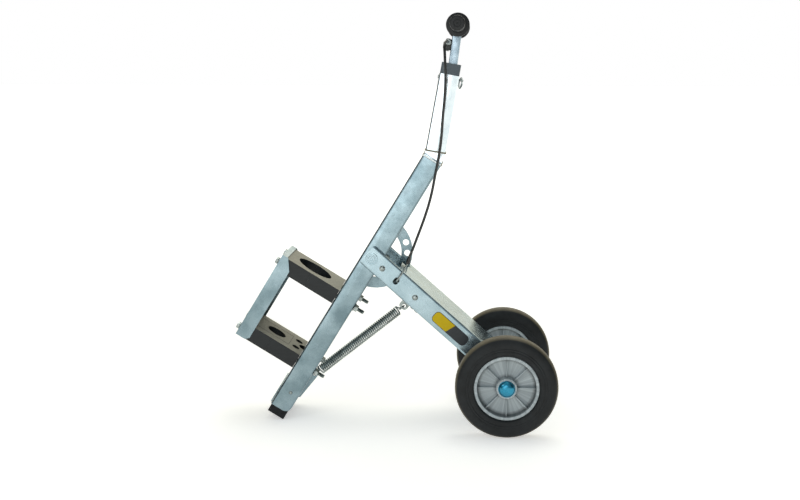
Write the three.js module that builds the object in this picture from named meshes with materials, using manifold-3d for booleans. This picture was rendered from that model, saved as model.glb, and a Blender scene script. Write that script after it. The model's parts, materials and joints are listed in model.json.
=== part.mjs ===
// Two-wheel trolley for a demolition hammer: slanted column with a clamping cradle, a wheeled
// arm that folds on it, a T-bar handle with a release lever, and a return spring.
// Millimetres, +Z up. The origin is on the floor under the middle of the trolley.
import * as THREE from 'three';
import { mergeVertices } from 'three/addons/utils/BufferGeometryUtils.js';
import Module from 'manifold-3d';

const wasm = await Module();
wasm.setup();

// ---------------------------------------------------------------- driving dimensions
const gap = 0.3;                       // clearance between pieces that touch
const deg = Math.PI / 180;

const wheel = { radius: 125, width: 52, mid: 170, rim: 79, boss: 25, bore: 10.3, ribs: 8 };
const axle = { x: 279, z: 125, radius: 10, end: 199 };
const pivot = { x: -56, z: 421, radius: 8, boss: 15 };

const arm = {
  angle: Math.atan2(pivot.z - axle.z, axle.x - pivot.x),
  length: Math.hypot(pivot.z - axle.z, axle.x - pivot.x),
  front: -18, rear: 24, bottom: -26.5, top: 28.5,
  half: 87, wall: 3, bend: 5, lip: 8.5, webStart: 88, webStop: 420,
};
const column = { tilt: 31.25 * deg, depth: 52, half: 75, wall: 3, bottom: -457, top: 284, bend: 5, heel: 18 };
const foot = {
  rivet: 3, rivetX: 3.4, rivetZ: -406, padLeft: -23.5, padRight: 22.5, padBottom: -478.8, padHalf: 71,
  plateHalf: 62, plateHeight: 50, plateWall: 3,
};
const mast = { tilt: 10.1 * deg, left: 81, size: 50, half: 25, wall: 2.5, bottom: 285, top: 477 };
const collar = { inset: 1, height: 28, slot: 26, shift: 4 };
const handle = { x: 152.2, z: 990.6, tilt: 7.4 * deg, stem: 22, stemWall: 2, drop: 150, barRadius: 12.5 };
const grip = { start: 88, end: 195, radius: 17.5, flange: 28.5, flangeWidth: 5 };

const cradle = {
  webOut: -194, wall: 3, flange: 36, blockHalf: 74.5, thick: 38, seam: -108.6,
  upper: -132, lower: -328, blockLeft: -190.7, blockRight: -26.6, boltY: 64, boltRadius: 5, boltHead: 8.3,
  upperBore: 47, lowerBore: 25.5, smallBore: 10.5, smallX: -46.5, smallY: 30, notch: 17, notchX: -24.5,
};
const sector = { y: 40, thick: 6, outer: 95.5, inner: 67, holeRing: 82, hole: 8.2, step: 19.5 * deg };
const lock = { radius: 7, flange: 9, shoulder: -34, spring: 8.5 };
const lever = { x: -19, y: 17.5, z: -48, height: 19, root: 6.5, reach: 92 };
const screwX = 35.6;                                  // plain screws on the arm
const crossbarX = 144.5;                              // bar through the arm that carries the spring hanger
const sectorRoom = 6;                                 // half of the notch in the web that clears the sector
const label = { start: 208, stop: 316, half: 15, corner: 11, thick: 0.6 };
const coil = { radius: 13, wire: 3.6, ripples: 20, hookRadius: 7, hookWire: 1.8 };
const springTop = new THREE.Vector2(127.9, -94.4);    // column frame, middle of the upper coil end
const springFoot = new THREE.Vector2(39.5, -335);     // column frame, middle of the lower coil end
const hookReach = 20;                                 // from a coil end to the hole that it hooks into
const cable = { radius: 3.3, sides: 8, steps: 44 };
const tube = { radius: 2.5, sides: 8 };
const bootGap = 0.7;                                  // at each end of the boot, where the cable bends away

// Cable route from the lever perch to the guide tube on the arm, chosen by hand.
const cableRoute = [
  [128.9, -30.8, 951.3], [128.5, -40, 951.6], [123.5, -66, 951], [120.6, -84, 941],
  [121.6, -92, 922], [122.6, -95, 900], [123.9, -96, 869], [122.0, -97, 816],
  [118.3, -97, 774], [114.4, -97, 716], [110.5, -98, 685], [101.6, -99, 636],
  [90.3, -100, 578], [76.7, -101, 531], [58.0, -102, 479], [44.6, -102, 443.5], [39.4, -102, 431],
];
// Guide tube in the arm frame: down beside the plate, then through it towards the lock pin.
const tubeRoute = [
  [73.5, -102, 52], [76.5, -102, 38], [79.5, -102, 22], [81.4, -101, 9],
  [82, -96, 1.5], [82, -90, 0], [82, -80, 0],
];

// ---------------------------------------------------------------- materials
const material = (color, roughness, metalness) =>
  new THREE.MeshStandardMaterial({ color, roughness, metalness });
const zinc = material(0xaebdc2, 0.35, 0.9);
const brightZinc = material(0xcdd8dc, 0.25, 0.95);
const boltSteel = material(0x9aa09f, 0.35, 0.9);
const springSteel = material(0x6f7a78, 0.35, 0.9);
const tyreRubber = material(0x1c1e20, 0.8, 0);
const gripRubber = material(0x17181a, 0.6, 0);
const hubPlastic = material(0x8f9698, 0.5, 0);
const blockPlastic = material(0x22282b, 0.45, 0);
const collarPlastic = material(0x4b5359, 0.5, 0);
const capBlue = material(0x2b7fa3, 0.25, 0.8);
const cableBlack = material(0x141513, 0.4, 0);
const leverBlack = material(0x1b1c1c, 0.4, 0.3);
const labelYellow = material(0xc9a800, 0.4, 0);

// ---------------------------------------------------------------- shape helpers
const outline = (points) => new THREE.Shape(points.map(([x, y]) => new THREE.Vector2(x, y)));

function roundedRect(x0, x1, y0, y1, corners) {
  const [bl, br, tr, tl] = Array.isArray(corners) ? corners : [corners, corners, corners, corners];
  const shape = new THREE.Shape();
  shape.moveTo(x0 + bl, y0);
  shape.lineTo(x1 - br, y0);
  if (br > 0) shape.absarc(x1 - br, y0 + br, br, -Math.PI / 2, 0, false);
  shape.lineTo(x1, y1 - tr);
  if (tr > 0) shape.absarc(x1 - tr, y1 - tr, tr, 0, Math.PI / 2, false);
  shape.lineTo(x0 + tl, y1);
  if (tl > 0) shape.absarc(x0 + tl, y1 - tl, tl, Math.PI / 2, Math.PI, false);
  if (bl > 0) shape.lineTo(x0, y0 + bl);
  if (bl > 0) shape.absarc(x0 + bl, y0 + bl, bl, Math.PI, Math.PI * 1.5, false);
  return shape;
}

const ring = (x, y, radius) => new THREE.Path().absarc(x, y, radius, 0, Math.PI * 2, true);

// A side-view outline (x, z) with thickness from y0 to y1.
const sidePlate = (shape, y0, y1, curveSegments = 6) =>
  new THREE.ExtrudeGeometry(shape, { depth: y1 - y0, bevelEnabled: false, curveSegments })
    .rotateX(Math.PI / 2).translate(0, y1, 0);

// A plan-view outline (x, y) with thickness from z0 to z1.
const planPlate = (shape, z0, z1, curveSegments = 6) =>
  new THREE.ExtrudeGeometry(shape, { depth: z1 - z0, bevelEnabled: false, curveSegments })
    .translate(0, 0, z0);

const block = (x0, x1, y0, y1, z0, z1) =>
  new THREE.BoxGeometry(x1 - x0, y1 - y0, z1 - z0)
    .translate((x0 + x1) / 2, (y0 + y1) / 2, (z0 + z1) / 2);

const rodY = (radius, y0, y1, x = 0, z = 0, sides = 16) =>
  new THREE.CylinderGeometry(radius, radius, y1 - y0, sides).translate(x, (y0 + y1) / 2, z);
const rodX = (radius, x0, x1, y = 0, z = 0, sides = 12) =>
  new THREE.CylinderGeometry(radius, radius, x1 - x0, sides).rotateZ(Math.PI / 2)
    .translate((x0 + x1) / 2, y, z);
const rodZ = (radius, z0, z1, x = 0, y = 0, sides = 12) =>
  new THREE.CylinderGeometry(radius, radius, z1 - z0, sides).rotateX(Math.PI / 2)
    .translate(x, y, (z0 + z1) / 2);

// Turned around the Y axis from a profile of [radius, y] points.
const turned = (profile, sides = 24) =>
  new THREE.LatheGeometry(profile.map(([r, y]) => new THREE.Vector2(r, y)), sides);

const washer = (inner, outer, y0, y1, sides = 16) =>
  turned([[inner, y0], [outer, y0], [outer, y1], [inner, y1], [inner, y0]], sides);

function swept(radius, sides, route, steps) {
  const section = [];
  for (let i = 0; i < sides; i += 1) {
    const turn = (i / sides) * Math.PI * 2;
    section.push([radius * Math.cos(turn), radius * Math.sin(turn)]);
  }
  const extrudePath = new THREE.CatmullRomCurve3(route.map((p) => new THREE.Vector3(...p)));
  return new THREE.ExtrudeGeometry(outline(section), { steps, extrudePath, bevelEnabled: false });
}

// ---------------------------------------------------------------- boolean helpers
function toManifold(geometry) {
  const bare = geometry.clone();
  bare.deleteAttribute('normal');
  bare.deleteAttribute('uv');
  const merged = mergeVertices(bare, 1e-4);
  const mesh = new wasm.Mesh({
    numProp: 3,
    vertProperties: new Float32Array(merged.attributes.position.array),
    triVerts: new Uint32Array(merged.index.array),
  });
  mesh.merge();
  return new wasm.Manifold(mesh);
}

function fromManifold(body) {
  const mesh = body.getMesh();
  const geometry = new THREE.BufferGeometry();
  geometry.setAttribute('position', new THREE.BufferAttribute(mesh.vertProperties, 3));
  geometry.setIndex(new THREE.BufferAttribute(mesh.triVerts, 1));
  const flat = geometry.toNonIndexed();
  flat.computeVertexNormals();
  return flat;
}

const joined = (base, ...others) =>
  fromManifold(others.reduce((sum, g) => sum.add(toManifold(g)), toManifold(base)));
const cut = (base, ...others) =>
  fromManifold(others.reduce((sum, g) => sum.subtract(toManifold(g)), toManifold(base)));
const common = (base, other) => fromManifold(toManifold(base).intersect(toManifold(other)));

// ---------------------------------------------------------------- scene graph
const trolley = new THREE.Group();

function frame(x, z, tilt) {
  const group = new THREE.Group();
  group.position.set(x, 0, z);
  group.rotation.y = tilt;
  trolley.add(group);
  return group;
}

const columnFrame = frame(pivot.x, pivot.z, column.tilt);   // x across the post, z up along it
const mastFrame = frame(pivot.x, pivot.z, mast.tilt);
const handleFrame = frame(handle.x, handle.z, handle.tilt);
const armFrame = frame(pivot.x, pivot.z, arm.angle);        // x from the pivot towards the axle

// A point (x, z) of one frame, in the coordinates of another.
function carry(from, to, x, z) {
  from.updateMatrixWorld();
  to.updateMatrixWorld();
  const point = to.worldToLocal(from.localToWorld(new THREE.Vector3(x, 0, z)));
  return [point.x, point.z];
}

function part(name, geometry, finish, parent = trolley) {
  const mesh = new THREE.Mesh(geometry, finish);
  mesh.name = name;
  parent.add(mesh);
  return mesh;
}

// ---------------------------------------------------------------- column
const halfDepth = column.depth / 2;
const boltRows = [cradle.upper, cradle.lower];
const bothSides = [['near', -1], ['far', 1]];
const hexSides = 6;
const pinDrop = 9;                                    // cross pin below the top of the mast

function buildPost() {
  const outside = roundedRect(-halfDepth, halfDepth, -column.half, column.half, column.bend);
  const inner = halfDepth - column.wall;
  outside.holes.push(roundedRect(-inner, inner, -column.half + column.wall, column.half - column.wall, 2));
  const corners = [0, column.heel, 0, 0];
  const silhouette = roundedRect(-halfDepth - 1, halfDepth, column.bottom, column.top, corners);
  let post = common(planPlate(outside, column.bottom, column.top, 2),
    sidePlate(silhouette, -column.half - 1, column.half + 1));
  const holes = [rodY(pivot.radius + gap, -column.half - 1, column.half + 1)];
  for (const row of boltRows) {
    for (const side of [-1, 1]) {
      holes.push(rodX(cradle.boltRadius + gap, -halfDepth - 1, halfDepth + 1, side * cradle.boltY, row, 12));
    }
  }
  holes.push(rodY(foot.rivet + gap, -column.half - 1, column.half + 1, foot.rivetX, foot.rivetZ, 12));
  post = cut(post, ...holes);
  part('column_post', post, zinc, columnFrame);
}

function buildFoot() {
  part('foot_pad', block(foot.padLeft, foot.padRight, -foot.padHalf, foot.padHalf,
    foot.padBottom, column.bottom - gap), tyreRubber, columnFrame);
  const plateBack = -halfDepth - gap;
  part('foot_plate', block(plateBack - foot.plateWall, plateBack, -foot.plateHalf, foot.plateHalf,
    column.bottom, column.bottom + foot.plateHeight), zinc, columnFrame);
  const head = column.half + gap;
  part('foot_rivet', turned([[0, -head - 2], [3.6, -head - 1.4], [4.6, -head], [foot.rivet, -head],
    [foot.rivet, head], [4.6, head], [3.6, head + 1.4], [0, head + 2]], 12)
    .translate(foot.rivetX, 0, foot.rivetZ), brightZinc, columnFrame);
}

function buildMast() {
  const right = mast.left + mast.size;
  const outside = roundedRect(mast.left, right, -mast.half, mast.half, 4);
  outside.holes.push(roundedRect(mast.left + mast.wall, right - mast.wall,
    -mast.half + mast.wall, mast.half - mast.wall, 2));
  const pinZ = mast.top - pinDrop;
  const pinHole = rodX(3.3, mast.left - 1, right + 1, 0, pinZ);
  part('mast_tube', cut(planPlate(outside, mast.bottom, mast.top, 2), pinHole), brightZinc, mastFrame);

  const collarOutside = roundedRect(mast.left + collar.inset, right - collar.inset,
    -mast.half + collar.inset, mast.half - collar.inset, 4);
  const slotMid = mast.left + mast.size / 2 + collar.shift;
  const slot = collar.slot / 2;
  collarOutside.holes.push(roundedRect(slotMid - slot, slotMid + slot, -slot, slot, 1));
  part('mast_collar', planPlate(collarOutside, mast.top + gap, mast.top + collar.height, 2),
    collarPlastic, mastFrame);

  const pinRadius = 2.6;
  part('stem_pin', joined(rodX(pinRadius, mast.left - gap - 2.4, right + 11, 0, pinZ),
    rodX(4.6, mast.left - gap - 2.6, mast.left - gap, 0, pinZ)), boltSteel, mastFrame);
  const clip = new THREE.TorusGeometry(6.6, 1.1, 6, 16).scale(1, 2.1, 1).rotateX(Math.PI / 2)
    .rotateZ(Math.PI / 2 - 0.75);
  part('pin_clip', clip.translate(right + 7, 0, pinZ - 7), boltSteel, mastFrame);
}

// The wedge fills the bend between the post and the mast, on a plate that closes the post.
function buildElbow() {
  const plateTop = column.top + gap + 3;
  const wedge = outline([
    [-halfDepth + 1, plateTop - 1], [halfDepth - 1, plateTop - 1],
    carry(mastFrame, columnFrame, mast.left + mast.size, mast.bottom - gap),
    carry(mastFrame, columnFrame, mast.left, mast.bottom - gap),
  ]);
  const plate = block(-halfDepth + 0.5, halfDepth - 0.5, -column.half + 1, column.half - 1,
    column.top + gap, plateTop);
  part('elbow_wedge', joined(plate, sidePlate(wedge, -mast.half, mast.half)), brightZinc, columnFrame);
}

function buildHandle() {
  const half = handle.stem / 2;
  const outside = roundedRect(-half, half, -half, half, 2);
  const inner = half - handle.stemWall;
  outside.holes.push(roundedRect(-inner, inner, -inner, inner, 1));
  const [, pinZ] = carry(mastFrame, handleFrame, mast.left + mast.size / 2, mast.top - pinDrop);
  part('handle_stem', cut(planPlate(outside, -handle.drop, -handle.barRadius - gap, 2),
    rodX(4, -half - 1, half + 1, 0, pinZ)), brightZinc, handleFrame);

  const bar = handle.barRadius;
  const barEnd = grip.end - 5;
  const barTube = [[bar - 2, -barEnd], [bar, -barEnd], [bar, barEnd], [bar - 2, barEnd], [bar - 2, -barEnd]];
  part('t_bar', turned(barTube, 20), brightZinc, handleFrame);
  const bore = bar + gap;
  const profile = [
    [bore, grip.start], [grip.flange - 1.5, grip.start], [grip.flange, grip.start + 1.5],
    [grip.flange, grip.start + grip.flangeWidth - 1.5], [grip.flange - 1.5, grip.start + grip.flangeWidth],
    [grip.radius + 1, grip.start + grip.flangeWidth + 0.5], [grip.radius - 0.8, grip.start + 14],
    [grip.radius - 0.8, grip.end - 14], [grip.radius + 0.6, grip.end - 6], [grip.radius - 2, grip.end],
    [0, grip.end], [0, barEnd + gap], [bore, barEnd + gap], [bore, grip.start],
  ];
  const mirrored = profile.map(([r, y]) => [r, -y]).reverse();
  part('grip_near', turned(mirrored, 20), gripRubber, handleFrame);
  part('grip_far', turned(profile, 20), gripRubber, handleFrame);
}

function buildLever() {
  const front = -handle.stem / 2 - gap;
  const top = lever.z + lever.height / 2 + 4;
  const bottom = lever.z - lever.height / 2 - 4;
  const ears = roundedRect(-25, -13, 5, lever.y + 6, [0, 5, 5, 0]);
  const perch = joined(block(-25, front, -14, 10, bottom, top),
    planPlate(ears, top - 3.7, top), planPlate(ears, bottom, bottom + 3.7),
    rodY(5, -30, -13, -18, lever.z + 6, 12), rodY(6.5, -22, -13, -18, lever.z + 6, 12));
  part('lever_perch', cut(perch, rodZ(2.8, bottom - 1, top + 1, lever.x, lever.y)), leverBlack, handleFrame);
  const blade = new THREE.Shape();
  blade.moveTo(lever.x - 4, lever.y);
  blade.quadraticCurveTo(lever.x - 4, lever.y + 40, lever.x - 14, lever.reach - 4);
  blade.quadraticCurveTo(lever.x - 14.5, lever.reach + 1, lever.x - 10.5, lever.reach);
  blade.quadraticCurveTo(lever.x + 3, lever.y + 40, lever.x + 4, lever.y);
  const half = lever.height / 2;
  part('release_lever', cut(joined(rodZ(lever.root, lever.z - half, lever.z + half, lever.x, lever.y),
    planPlate(blade, lever.z - half + 2, lever.z + half - 2)),
  rodZ(2.8, lever.z - half - 1, lever.z + half + 1, lever.x, lever.y)), leverBlack, handleFrame);
  part('lever_pin', joined(rodZ(2.5, bottom - 1.5, top + gap, lever.x, lever.y),
    rodZ(4.2, top + gap, top + gap + 1.8, lever.x, lever.y),
    rodZ(4.2, bottom - gap - 1.8, bottom - gap, lever.x, lever.y)), boltSteel, handleFrame);
}

function buildSector() {
  const chord = halfDepth + gap;
  const wide = Math.acos(chord / sector.outer);
  const narrow = Math.acos(chord / sector.inner);
  const shape = new THREE.Shape();
  shape.absarc(0, 0, sector.outer, -wide, wide, false);
  shape.absarc(0, 0, sector.inner, narrow, -narrow, true);
  const rest = column.tilt - arm.angle;            // arm direction at rest, in the column frame
  for (const place of [0, 1, 2, 3]) {
    const turn = rest + place * sector.step;
    shape.holes.push(ring(sector.holeRing * Math.cos(turn), sector.holeRing * Math.sin(turn), sector.hole));
  }
  part('sector_plate', sidePlate(shape, sector.y - sector.thick / 2, sector.y + sector.thick / 2, 8),
    zinc, columnFrame);
}

// ---------------------------------------------------------------- cradle
function buildStrap() {
  const { webOut, wall, flange, thick } = cradle;
  const low = cradle.lower - thick / 2;
  const high = cradle.upper + thick / 2;
  const inside = cradle.blockHalf + 0.5;
  const lipTop = high + gap + wall;
  const side = outline([[webOut, low], [webOut + flange - 9, low], [webOut + flange, low + 9],
    [webOut + flange, high - 26], [webOut + 16, lipTop], [webOut, lipTop]]);
  const plates = [-inside - wall, inside].map((start) => sidePlate(side, start, start + wall));
  const web = block(webOut, webOut + wall, -inside - 0.5, inside + 0.5, low, lipTop);
  const lip = block(webOut, webOut + 14, -inside - 0.5, inside + 0.5, high + gap, lipTop);
  const holes = boltRows.flatMap((row) => [-1, 1].map((way) =>
    rodX(cradle.boltRadius + gap, webOut - 1, webOut + wall + 1, way * cradle.boltY, row, 12)));
  part('cradle_strap', cut(joined(web, lip, ...plates), ...holes), zinc, columnFrame);
}

function buildBlock(name, row, bore, extra = []) {
  const { blockLeft, blockRight, seam, blockHalf, thick, boltY } = cradle;
  const low = row - thick / 2;
  const high = row + thick / 2;
  const spans = [['outer', blockLeft, seam - gap / 2], ['inner', seam + gap / 2, blockRight]];
  for (const [end, x0, x1] of spans) {
    const cuts = [rodZ(bore, low - 1, high + 1, seam, 0, 40)];
    for (const way of [-1, 1]) {
      cuts.push(rodX(cradle.boltRadius + gap, x0 - 1, x1 + 1, way * boltY, row, 12));
    }
    for (const [x, y, radius] of extra) {
      if (x > x0 && x < x1 + radius) cuts.push(rodZ(radius, low - 1, high + 1, x, y, 20));
    }
    const whole = block(x0, x1, -blockHalf, blockHalf, low, high);
    part(`${name}_${end}`, cut(whole, ...cuts), blockPlastic, columnFrame);
  }
}

function buildClampBolts() {
  const { webOut, boltY, boltRadius } = cradle;
  const headOut = webOut - gap - cradle.boltHead;
  const nutStart = halfDepth + gap;
  for (const [level, row] of [['upper', cradle.upper], ['lower', cradle.lower]]) {
    for (const [side, way] of bothSides) {
      const y = way * boltY;
      part(`clamp_bolt_${level}_${side}`, joined(rodX(boltRadius, headOut + 1, nutStart + 28, y, row, 12),
        rodX(9, headOut, webOut - gap, y, row, hexSides)), boltSteel, columnFrame);
      part(`clamp_nut_${level}_${side}`, cut(joined(rodX(10.5, nutStart, nutStart + 2, y, row),
        rodX(9, nutStart + 1, nutStart + 10, y, row, hexSides)),
      rodX(boltRadius + gap, nutStart - 1, nutStart + 11, y, row, 12)), boltSteel, columnFrame);
    }
  }
}

// ---------------------------------------------------------------- arm

function buildArmChannel() {
  const { half, wall, bend, lip, top, bottom } = arm;
  const end = arm.length + arm.rear;
  const mouth = half - lip;
  const section = roundedRect(-half, half, bottom, top, bend);
  const profile = toManifold(lengthwise(section, arm.front, end))
    .subtract(toManifold(lengthwise(roundedRect(-half + wall, half - wall, bottom + wall, top - wall, 2),
      arm.front - 1, end + 1)));
  const silhouette = sidePlate(roundedRect(arm.front, end, bottom, top, [6, 20, 20, 9]), -half - 1, half + 1);
  const web = top - wall - 1;
  const openings = [
    block(arm.front - 1, end + 1, -mouth, mouth, bottom - 1, bottom + wall + 1),
    block(arm.front - 1, arm.webStart, -mouth, mouth, web, top + 1),
    block(arm.webStop, end + 1, -mouth, mouth, web, top + 1),
    block(arm.webStart - 1, sector.outer - 1, sector.y - sectorRoom, sector.y + sectorRoom, web, top + 1),
    rodY(pivot.radius + gap, -half - 1, half + 1),
    rodY(axle.radius + gap, -half - 1, half + 1, arm.length, 0),
    rodY(4.3, -half - 1, half + 1, screwX, 0, 12),
    rodY(4.3, -half - 1, half + 1, crossbarX, 0, 12),
    sidePlate(roundedRect(75, 89, -10, 9, 6.5), -half - 1, -half + wall + 1),
  ];
  let channel = profile.intersect(toManifold(silhouette));
  for (const opening of openings) channel = channel.subtract(toManifold(opening));
  part('arm_channel', fromManifold(channel), zinc, armFrame);
}

// A (y, z) section drawn out along x.
function lengthwise(shape, x0, x1) {
  return new THREE.ExtrudeGeometry(shape, { depth: x1 - x0, bevelEnabled: false, curveSegments: 2 })
    .rotateX(Math.PI / 2).rotateZ(Math.PI / 2).translate(x0, 0, 0);
}

function buildArmPivot() {
  const outer = arm.half + gap;
  part('pivot_shaft', rodY(pivot.radius, -outer - 2.5, outer + 2.5), brightZinc, armFrame);
  for (const [side, way] of bothSides) {
    const inner = column.half + gap;
    const spacer = washer(pivot.radius + gap, 17, inner, arm.half - arm.wall - gap);
    const boss = washer(pivot.radius + gap, pivot.boss, outer, outer + 2);
    if (way < 0) {
      spacer.rotateX(Math.PI);
      boss.rotateX(Math.PI);
    }
    part(`pivot_spacer_${side}`, spacer, brightZinc, armFrame);
    part(`pivot_boss_${side}`, boss, brightZinc, armFrame);
  }
}

function buildArmScrews() {
  const plateIn = arm.half - arm.wall - gap;
  const plateOut = arm.half + gap;
  for (const [side, way] of bothSides) {
    const screw = turned([[0, plateIn - 4], [7, plateIn - 4], [7, plateIn], [4, plateIn], [4, plateOut],
      [7, plateOut], [6, plateOut + 2.2], [3.4, plateOut + 3.4], [0, plateOut + 3.8]], 16);
    if (way < 0) screw.rotateX(Math.PI);
    part(`arm_screw_${side}`, screw.translate(screwX, 0, 0), boltSteel, armFrame);
  }
  const halfBar = [[6, 0], [6, plateIn], [4, plateIn], [4, plateOut], [7, plateOut], [6, plateOut + 2.2],
    [3.4, plateOut + 3.4], [0, plateOut + 3.8]];
  const bar = [...halfBar.slice(1).map(([r, y]) => [r, -y]).reverse(), ...halfBar.slice(1)];
  part('spring_crossbar', turned(bar, 16).translate(crossbarX, 0, 0), boltSteel, armFrame);
}

function buildSpringHanger(holeX, holeZ) {
  const lug = roundedRect(crossbarX - 11, crossbarX + 12, holeZ - 9, arm.top - arm.wall - gap, [8, 8, 2, 2]);
  lug.holes.push(ring(crossbarX, 0, 6.3), ring(holeX, holeZ, 5));
  const shelf = block(crossbarX + 10, crossbarX + 42, -12, 12, -38, -35);
  const bolts = [crossbarX + 20, crossbarX + 33].map((x) => rodZ(5.5, -42.5, -37, x, 0, hexSides));
  const back = block(crossbarX + 39, crossbarX + 42, -12, 12, -38, arm.top - arm.wall - gap);
  part('spring_hanger', joined(sidePlate(lug, -2, 2), shelf, back, ...bolts), boltSteel, armFrame);
}

function buildLock() {
  const x = sector.holeRing;
  const near = -arm.half + arm.wall + 2.3;
  const guide = 22;
  const tip = sector.y - sector.thick / 2 - gap;
  const face = tip - 2.7;
  const body = block(x - 12, x + 13, near, face, -16, arm.top - arm.wall - gap);
  part('lock_housing', cut(body, rodY(lock.flange + gap, near - 1, guide, x, 0, 24),
    rodY(lock.radius + gap, guide - 1, face + 1, x, 0, 24)), zinc, armFrame);
  const pin = [[0, lock.shoulder - 4], [lock.flange, lock.shoulder - 4], [lock.flange, lock.shoulder],
    [lock.radius, lock.shoulder], [lock.radius, tip - 2], [lock.radius - 2, tip], [0, tip]];
  part('lock_pin', turned(pin).translate(x, 0, 0), boltSteel, armFrame);
  part('lock_spring', corrugated(lock.spring, 2, 7, near + 3, lock.shoulder - 4 - gap, 10)
    .translate(x, 0, 0), springSteel, armFrame);
}

// A closed tube along Y whose outside ripples once for each turn of a spring.
function corrugated(radius, wire, turns, y0, y1, sides) {
  const pitch = (y1 - y0) / turns;
  const profile = [[radius - wire, y0], [radius - wire * 0.4, y0]];
  for (let i = 0; i < turns; i += 1) {
    profile.push([radius, y0 + pitch * (i + 0.5)]);
    if (i < turns - 1) profile.push([radius - wire * 0.4, y0 + pitch * (i + 1)]);
  }
  profile.push([radius - wire * 0.4, y1], [radius - wire, y1], [radius - wire, y0]);
  return turned(profile, sides);
}

function buildLabel() {
  const shape = roundedRect(label.start, label.stop, -label.half, label.half, label.corner);
  const back = -arm.half - gap;
  part('arm_label', sidePlate(shape, back - label.thick, back, 4), labelYellow, armFrame);
}

// ---------------------------------------------------------------- spring and cable
function buildSpring(axis, length) {
  const plugRadius = coil.radius - coil.wire + 0.5;
  const plug = turned([[2.5, 0], [plugRadius, 0], [plugRadius, 2.5], [2.5, 2.5], [2.5, 0]], 10);
  const hook = new THREE.TorusGeometry(coil.hookRadius, coil.hookWire, 6, 12).rotateY(Math.PI / 2);
  const stemLength = hookReach - 2 * coil.hookRadius;
  const stem = rodY(coil.hookWire, -stemLength, 2, 0, 0, 6).translate(0, 0, 3.4);
  const lower = [plug, hook.clone().translate(0, -hookReach + coil.hookRadius, 0), stem];
  const upper = lower.map((g) => g.clone().rotateX(Math.PI).translate(0, length, 0));
  const body = joined(corrugated(coil.radius, coil.wire, coil.ripples, 0, length, 10), ...lower, ...upper);
  const worldY = new THREE.Vector3(0, 1, 0);
  const along = new THREE.Vector3(axis.x, 0, axis.y);
  const across = new THREE.Vector3().crossVectors(along, worldY);
  const basis = new THREE.Matrix4().makeBasis(across, along, worldY);
  body.applyMatrix4(basis).translate(springFoot.x, 0, springFoot.y);
  part('return_spring', body, springSteel, columnFrame);
}

function buildSpringLug(hole) {
  const face = halfDepth + gap;
  const lug = outline([[face, -430], [face + 5, -426], [hole.x + 8, hole.y - 4], [hole.x + 8, hole.y + 5],
    [hole.x + 4, hole.y + 8], [face, hole.y + 8]]);
  lug.holes.push(ring(hole.x, hole.y, 4));
  part('spring_lug', sidePlate(lug, -2, 2), zinc, columnFrame);
}

function buildCable() {
  part('release_cable', swept(cable.radius, cable.sides, cableRoute, cable.steps), cableBlack);
  part('guide_tube', swept(tube.radius, tube.sides, tubeRoute, 14), boltSteel, armFrame);
  armFrame.updateMatrixWorld();
  const mouth = armFrame.localToWorld(new THREE.Vector3(...tubeRoute[0]));
  const along = new THREE.Vector3(...cableRoute.at(-1)).sub(mouth);
  const reach = along.length() - 2 * bootGap;
  along.normalize();
  const boot = turned([[0, 0], [4, 0], [5, reach * 0.3], [4.2, reach], [0, reach]], 14);
  boot.applyQuaternion(new THREE.Quaternion().setFromUnitVectors(new THREE.Vector3(0, 1, 0), along));
  const bootFoot = mouth.addScaledVector(along, bootGap);
  part('cable_boot', boot.translate(bootFoot.x, bootFoot.y, bootFoot.z), cableBlack);
}

// ---------------------------------------------------------------- axle and wheels
function buildAxle() {
  part('axle', rodY(axle.radius, -axle.end, axle.end, axle.x, axle.z, 24), boltSteel);
  for (const [side, way] of bothSides) {
    const spacer = washer(axle.radius + gap, 15, arm.half + gap, wheel.mid - wheel.width / 2 + 2 - gap);
    if (way < 0) spacer.rotateX(Math.PI);
    part(`axle_spacer_${side}`, spacer.translate(axle.x, 0, axle.z), boltSteel);
  }
}

function buildWheel(side, way) {
  const { radius, width, rim, boss, bore, mid, ribs } = wheel;
  const half = width / 2;
  const place = (geometry) => {
    if (way < 0) geometry.rotateX(Math.PI);
    return geometry.translate(axle.x, way * mid, axle.z);
  };
  const bead = rim + gap;
  const shoulder = radius - 13;
  part(`tyre_${side}`, place(turned([[bead, -half + 4], [bead + 4, -half], [shoulder, -half + 1],
    [radius - 4, -half + 5], [radius, -half + 12], [radius, half - 12], [radius - 4, half - 5],
    [shoulder, half - 1], [bead + 4, half], [bead, half - 4], [bead, -half + 4]], 36)), tyreRubber);

  const ringIn = rim - 7;
  const face = half - 4;
  const web = 3;
  const shell = turned([[bore, -half + 2], [boss, -half + 2], [boss, -web], [ringIn, -web], [ringIn, -face],
    [rim, -face], [rim, face], [ringIn, face], [ringIn, web], [boss, web], [boss, half - 2],
    [bore, half - 2], [bore, -half + 2]], 28);
  const ribGeometries = [];
  for (let i = 0; i < ribs; i += 1) {
    for (const level of [[web - 1, face - 4], [-face + 4, -web + 1]]) {
      ribGeometries.push(block(boss - 1, ringIn + 1, level[0], level[1], -1.8, 1.8)
        .rotateY(((i + 1) / ribs) * Math.PI * 2));
    }
  }
  part(`wheel_hub_${side}`, place(joined(shell, ...ribGeometries)), hubPlastic);

  const capBase = half - 2 + gap;
  const axleEnd = axle.end - mid + gap;
  part(`axle_cap_${side}`, place(turned([[axle.radius + gap, capBase], [20.5, capBase], [20.5, capBase + 2],
    [18, capBase + 6], [12, capBase + 9.3], [5, capBase + 10.7], [0, capBase + 11], [0, axleEnd],
    [axle.radius + gap, axleEnd], [axle.radius + gap, capBase]], 20)), capBlue);
}

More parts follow.
